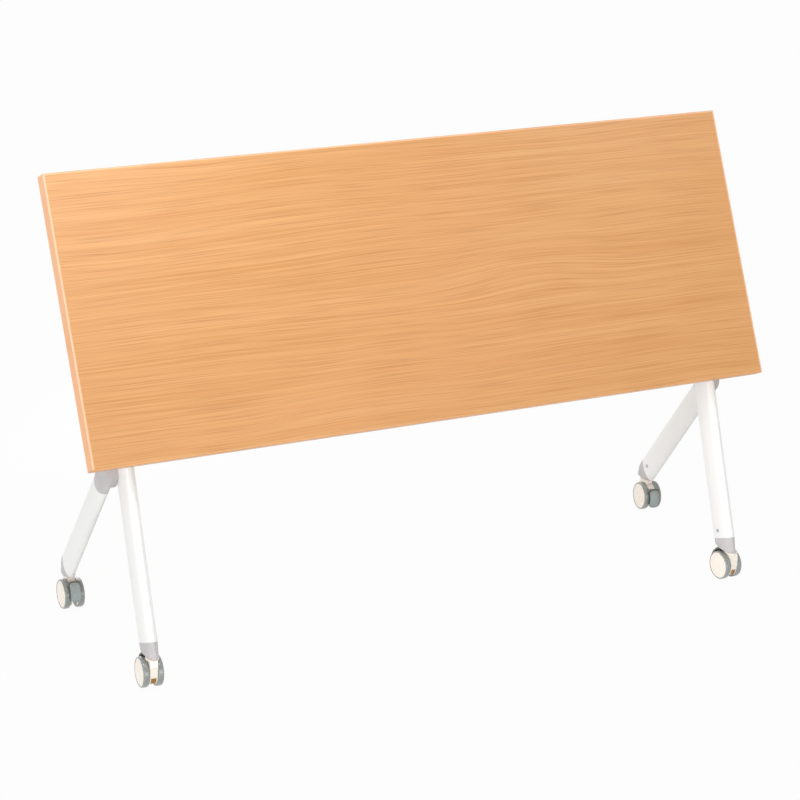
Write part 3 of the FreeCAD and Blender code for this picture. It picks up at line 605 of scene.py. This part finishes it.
# The dome ends in a fine groove, and the lip outside it rounds off towards the tyre.
groove_and_lip = [(16.3, 17.4), (16.3, 17.8), (16.4, 18.0), (16.35, 20.0), (16.0, 21.2), (15.6, RIM_R)]
hub_mesh = lathe("hub", [
    *dome, *groove_and_lip,
    (WHEEL_IN + HUB_INSET, RIM_R), (WHEEL_IN + HUB_INSET, HOLLOW_R), (WEB_X, HOLLOW_R),
    (WEB_X, BOSS_R), (WHEEL_IN, BOSS_R), (WHEEL_IN, BORE_R), (BORE_END, BORE_R), (BORE_END, 0)])
hub_mesh.materials.append(ivory_abs)
for joint in frame["joints"]:
    if not joint["name"].endswith("_roll"):
        continue
    wheel = joint["child"]
    stem = wheel.removesuffix("_wheel")
    low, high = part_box(f"{stem}_tyre")
    middle = Vector(joint["pos_m"])
    axle = Vector(joint["axis"])
    if axle.dot((low + high) / 2 - middle) < 0:
        axle.negate()
    stand = axle.to_track_quat("X", "Z").to_matrix().to_4x4()
    for part, mesh, slot in (("tyre", tyre_mesh, "grey_tyre"), ("hub", hub_mesh, "ivory_plastic")):
        piece = add_piece(f"{stem}_{part}_turned", mesh)
        piece.matrix_world = Matrix.Translation(middle) @ stand
        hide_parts(f"{stem}_{part}")
        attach(piece, wheel)


# Brake leaves
# A bent leaf of yellow-plated spring steel fills the open mouth of each hood and curls in
# under the axle. It is clipped between the hood's side walls.

UP = Vector((0, 0, 1))
LEAF_AHEAD = 22.0 * MM
LEAF_TOP = -0.7 * MM
LEAF_DROP = 13.0 * MM
LEAF_CURL = 6.5 * MM
LEAF_T = 0.8 * MM
LEAF_HALF = 4.2 * MM
LEAF_CREASE = 40
for joint in frame["joints"]:
    if not joint["name"].endswith("_left_roll"):
        continue
    corner = joint["name"].removesuffix("_left_roll")
    middle = Vector(joint["pos_m"])
    axle = Vector(joint["axis"])
    front = axle.cross(UP)
    mesh = bmesh.new()
    rows = []
    for share in (0, 0.15, 0.3, 0.45, 0.6, 0.75, 0.9, 1):
        ahead = LEAF_AHEAD - LEAF_CURL * share ** 2
        rise = LEAF_TOP - LEAF_DROP * share
        row = []
        for back, across in ((0, -1), (0, 1), (LEAF_T, 1), (LEAF_T, -1)):
            spot = middle + front * (ahead - back) + UP * rise + axle * across * LEAF_HALF
            row.append(mesh.verts.new(spot))
        rows.append(row)
    for one, two in zip(rows, rows[1:]):
        skin(mesh, one, two)
    mesh.faces.new(rows[0])
    mesh.faces.new(rows[-1])
    bmesh.ops.recalc_face_normals(mesh, faces=mesh.faces)
    made = finish_mesh(mesh, f"{corner}_brake_leaf")
    soften(made, LEAF_CREASE)
    made.materials.append(yellow_zinc)
    leaf = add_piece(f"{corner}_brake_leaf", made)
    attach(leaf, f"{corner}_caster")


# Brake pedals
# Levers of ABS hung on the axle, with a curved toe plate outside the wheels. Their dark grey is painted shade, for
# the shade that lies on their inner faces.
# The mould leaves them satin, with slow flow marks.

PEDAL_FLOW = 11.1 * MM
# The levers' dark grey is painted shade for their shaded inner faces.
pedal_painted_shade = mottled("pedal_grey_painted_shade", {"IOR": 1.53}, PEDAL_FLOW, 3.0, "#6B6B62", "#57574F", (0.36, 0.5))
dress(pedal_painted_shade, *[f"{corner}_pedal" for corner in CORNERS])


# Toe pads
# A softly domed blue-grey pad covers the outside of each toe plate, with three low ribs near
# its upper edge to give a shoe some hold. One pedal is shown pressed.

# Moulded elastomer is matt, with a nap that keeps highlights off it. The nap is well under
# 1 mm, drawn at about 6 mm so that it shows.
SPECK = 6.25 * MM
pad_tpe, tree, shader, place = start_material("blue_grey_elastomer", {"IOR": 1.5})
speck = add(tree, "ShaderNodeTexNoise", {"Vector": place, "Scale": 1 / SPECK, "Detail": 3.0})
blue = add(tree, "ShaderNodeMix", {
    0: speck.outputs["Fac"], 6: linear("#A3ADAC"), 7: linear("#8B9695")}, data_type="RGBA")
soft = add(tree, "ShaderNodeMapRange", {
    "Value": speck.outputs["Fac"], "To Min": 0.4, "To Max": 0.6})
nap = add(tree, "ShaderNodeBump", {
    "Height": speck.outputs["Fac"], "Strength": 0.15, "Distance": 0.2 * MM})
tree.links.new(blue.outputs[2], shader.inputs["Base Color"])
tree.links.new(soft.outputs[0], shader.inputs["Roughness"])
tree.links.new(nap.outputs[0], shader.inputs["Normal"])

PAD_R = 29.2 * MM
PAD_RISE = 1.0 * MM
PAD_LIP = 1.0 * MM
PAD_HALF = 8.9 * MM
PAD_DEGREES = (-4, 61)
PAD_SQUARENESS = 8
PAD_END_SQUARENESS = 4
PAD_END_ROUND = 0.1
PAD_SIDE_ROUND = 0.3
RIB_DEGREES = (45, 49, 53)
RIB_WIDTH_DEGREES = 1.1
RIB_RISE = 0.35 * MM
PRESSED_DEGREES = {"rear_right": 20}
PAD_ACROSS = 16
PAD_ALONG = 64
for joint in frame["joints"]:
    if not joint["name"].endswith("_brake_pedal"):
        continue
    corner = joint["name"].removesuffix("_brake_pedal")
    middle = Vector(joint["pos_m"])
    axle = -Vector(joint["axis"])
    rear = UP.cross(axle)
    mesh = bmesh.new()
    outside = []
    inside = []
    for step in range(PAD_ALONG + 1):
        along = 2 * step / PAD_ALONG - 1
        half_width = (1 - PAD_SIDE_ROUND * along ** PAD_SQUARENESS) * PAD_HALF
        for column in range(PAD_ACROSS + 1):
            across = 2 * column / PAD_ACROSS - 1
            sweep = along * (1 - PAD_END_ROUND * across ** PAD_END_SQUARENESS)
            degrees = (PAD_DEGREES[0] * (1 - sweep) + PAD_DEGREES[1] * (1 + sweep)) / 2
            dome = 1 - max(abs(along), abs(across)) ** PAD_SQUARENESS
            ribs = sum(math.exp(-((degrees - rib) / RIB_WIDTH_DEGREES) ** 2) for rib in RIB_DEGREES)
            ribs *= 1 - across ** PAD_SQUARENESS
            angle = math.radians(degrees - PRESSED_DEGREES.get(corner, 0))
            out = rear * math.cos(angle) + UP * math.sin(angle)
            spot = middle + axle * across * half_width
            outside.append(mesh.verts.new(spot + out * (PAD_R + PAD_RISE * dome + RIB_RISE * ribs)))
            inside.append(mesh.verts.new(spot + out * (PAD_R - PAD_LIP)))
    wide = PAD_ACROSS + 1
    last = PAD_ALONG * wide
    for sheet in (outside, inside):
        for first in range(0, last, wide):
            for cell in range(first, first + PAD_ACROSS):
                mesh.faces.new((sheet[cell], sheet[cell + 1], sheet[cell + wide + 1], sheet[cell + wide]))
    rim = [(cell, cell + wide) for first in (0, PAD_ACROSS) for cell in range(first, last, wide)]
    rim += [(cell, cell + 1) for first in (0, last) for cell in range(first, first + PAD_ACROSS)]
    for one, two in rim:
        mesh.faces.new((outside[one], outside[two], inside[two], inside[one]))
    bmesh.ops.recalc_face_normals(mesh, faces=mesh.faces)
    made = finish_mesh(mesh, f"{corner}_toe_pad")
    made.polygons.foreach_set("use_smooth", [True] * len(made.polygons))
    made.materials.append(pad_tpe)
    pad = add_piece(f"{corner}_toe_pad", made)
    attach(pad, f"{corner}_brake")


# Floor and backdrop
# A plain white sweep, shown at full white to the camera and in reflections.
# It keeps a faint part of the table's shadow.

SHADOW_SHARE = 0.04
FLOOR_HALF = 12.0
FILL_STRENGTH = 0.58
floor_white = bpy.data.materials.new("white_floor")
floor_white.use_nodes = True
tree = floor_white.node_tree
tree.nodes.clear()
path = add(tree, "ShaderNodeLightPath", {})
seen = add(tree, "ShaderNodeMath", {
    0: path.outputs["Is Camera Ray"], 1: path.outputs["Is Glossy Ray"]}, operation="MAXIMUM")
through = add(tree, "ShaderNodeMath", {
    0: seen.outputs[0], 1: path.outputs["Is Transmission Ray"]}, operation="MAXIMUM")
share = add(tree, "ShaderNodeMath", {0: through.outputs[0], 1: 1 - SHADOW_SHARE}, operation="MULTIPLY")
paint = add(tree, "ShaderNodeBsdfDiffuse", {"Color": linear("#CCCCCC")})
glow = add(tree, "ShaderNodeEmission", {"Color": linear("#FFFFFF"), "Strength": 1.0})
sweep = add(tree, "ShaderNodeMixShader", {0: share.outputs[0], 1: paint.outputs[0], 2: glow.outputs[0]})
add(tree, "ShaderNodeOutputMaterial", {"Surface": sweep.outputs[0]})
floor_mesh = bpy.data.meshes.new("floor")
floor_corners = [(x * FLOOR_HALF, y * FLOOR_HALF, 0) for x, y in ((-1, -1), (1, -1), (1, 1), (-1, 1))]
floor_mesh.from_pydata(floor_corners, [], [(0, 1, 2, 3)])
floor_mesh.materials.append(floor_white)
floor = add_piece("floor", floor_mesh)

world = bpy.data.worlds.new("studio")
world.use_nodes = True
tree = world.node_tree
tree.nodes.clear()
path = add(tree, "ShaderNodeLightPath", {})
seen = add(tree, "ShaderNodeMath", {
    0: path.outputs["Is Camera Ray"], 1: path.outputs["Is Transmission Ray"]}, operation="MAXIMUM")
fill = add(tree, "ShaderNodeBackground", {"Color": linear("#FFFFFF"), "Strength": FILL_STRENGTH})
white_out = add(tree, "ShaderNodeBackground", {"Color": linear("#FFFFFF"), "Strength": 1.0})
backdrop = add(tree, "ShaderNodeMixShader", {
    0: seen.outputs[0], 1: fill.outputs[0], 2: white_out.outputs[0]})
add(tree, "ShaderNodeOutputWorld", {"Surface": backdrop.outputs[0]})
bpy.context.scene.world = world


# Studio lights
# Large soft boxes to the front, far to the left and behind light the whole table, and a tall
# strip shows in the glossy tyres. Three small ones above the worktop even out its sheen, and a
# low one behind lights the inner sides of the right legs.

def soft_box(name, spot, aim, size, watts):
    """Rectangular lamp at a spot, turned to its aim and hidden from the camera."""
    lamp = bpy.data.lights.new(name, "AREA")
    lamp.shape = "RECTANGLE"
    lamp.size, lamp.size_y = size
    lamp.energy = watts
    box = add_piece(name, lamp)
    box.location = spot
    box.rotation_euler = (Vector(aim) - Vector(spot)).to_track_quat("-Z", "Y").to_euler()
    box.visible_camera = False


soft_box("key_light", (-0.6, -0.35, 1.35), (-0.5, 0.1, 0.7), (0.5, 0.3), 2.3)
soft_box("sheen_light", (-0.2, -0.62, 1.45), (-0.6, 0.18, 0.75), (0.35, 0.35), 1.5)
soft_box("end_light", (0.78, -0.32, 1.2), (0.6, 0.0, 0.5), (0.3, 0.3), 0.7)
soft_box("front_light", (-0.3, -3.8, 1.0), (0.1, 0.0, 0.35), (2.0, 2.0), 17)
soft_box("strip_light", (0.1, -3.04, 0.53), (-0.55, 0.0, 0.2), (0.3, 1.04), 11)
soft_box("left_light", (-14.0, -2.4, 1.1), (0.0, 0.0, 0.3), (5.2, 5.2), 1060)
soft_box("camera_light", (-2.4, -3.4, 0.8), (0.3, 0.0, 0.3), (1.4, 1.4), 13)
soft_box("right_light", (1.4, -3.2, 0.5), (0.5, 0.0, 0.3), (1.4, 1.4), 13)
soft_box("under_light", (-0.3, 0.9, 0.3), (0.5, 0.0, 0.25), (0.5, 0.3), 1.9)
soft_box("rear_light", (0.5, 2.8, 2.4), (0.0, 0.0, 0.4), (2.4, 1.6), 26)


# Camera
# A long lens from the front left, well above the worktop and looking down on it.
# It is rolled by a few degrees, so that the table stands at a slant.

AZIMUTH = math.radians(-29.67)
ELEVATION = math.radians(23.6)
ROLL = math.radians(4.66)
DISTANCE = 4.20525
TARGET = Vector((-0.09172, -0.094971, 0.38403))
ahead = Vector((
    -math.sin(AZIMUTH) * math.cos(ELEVATION), math.cos(AZIMUTH) * math.cos(ELEVATION), -math.sin(ELEVATION)))
right = ahead.cross(UP).normalized()
up = right.cross(ahead)
right, up = (right * math.cos(ROLL) + up * math.sin(ROLL), up * math.cos(ROLL) - right * math.sin(ROLL))
lens = bpy.data.cameras.new("camera")
lens.sensor_width = 36.0
lens.lens = 122.01
lens.clip_end = 50.0
camera = add_piece("camera", lens)
spot = TARGET - ahead * DISTANCE
camera.matrix_world = Matrix.Translation(spot) @ Matrix((right, up, -ahead)).transposed().to_4x4()
bpy.context.scene.camera = camera
bpy.context.scene.view_settings.view_transform = "Standard"
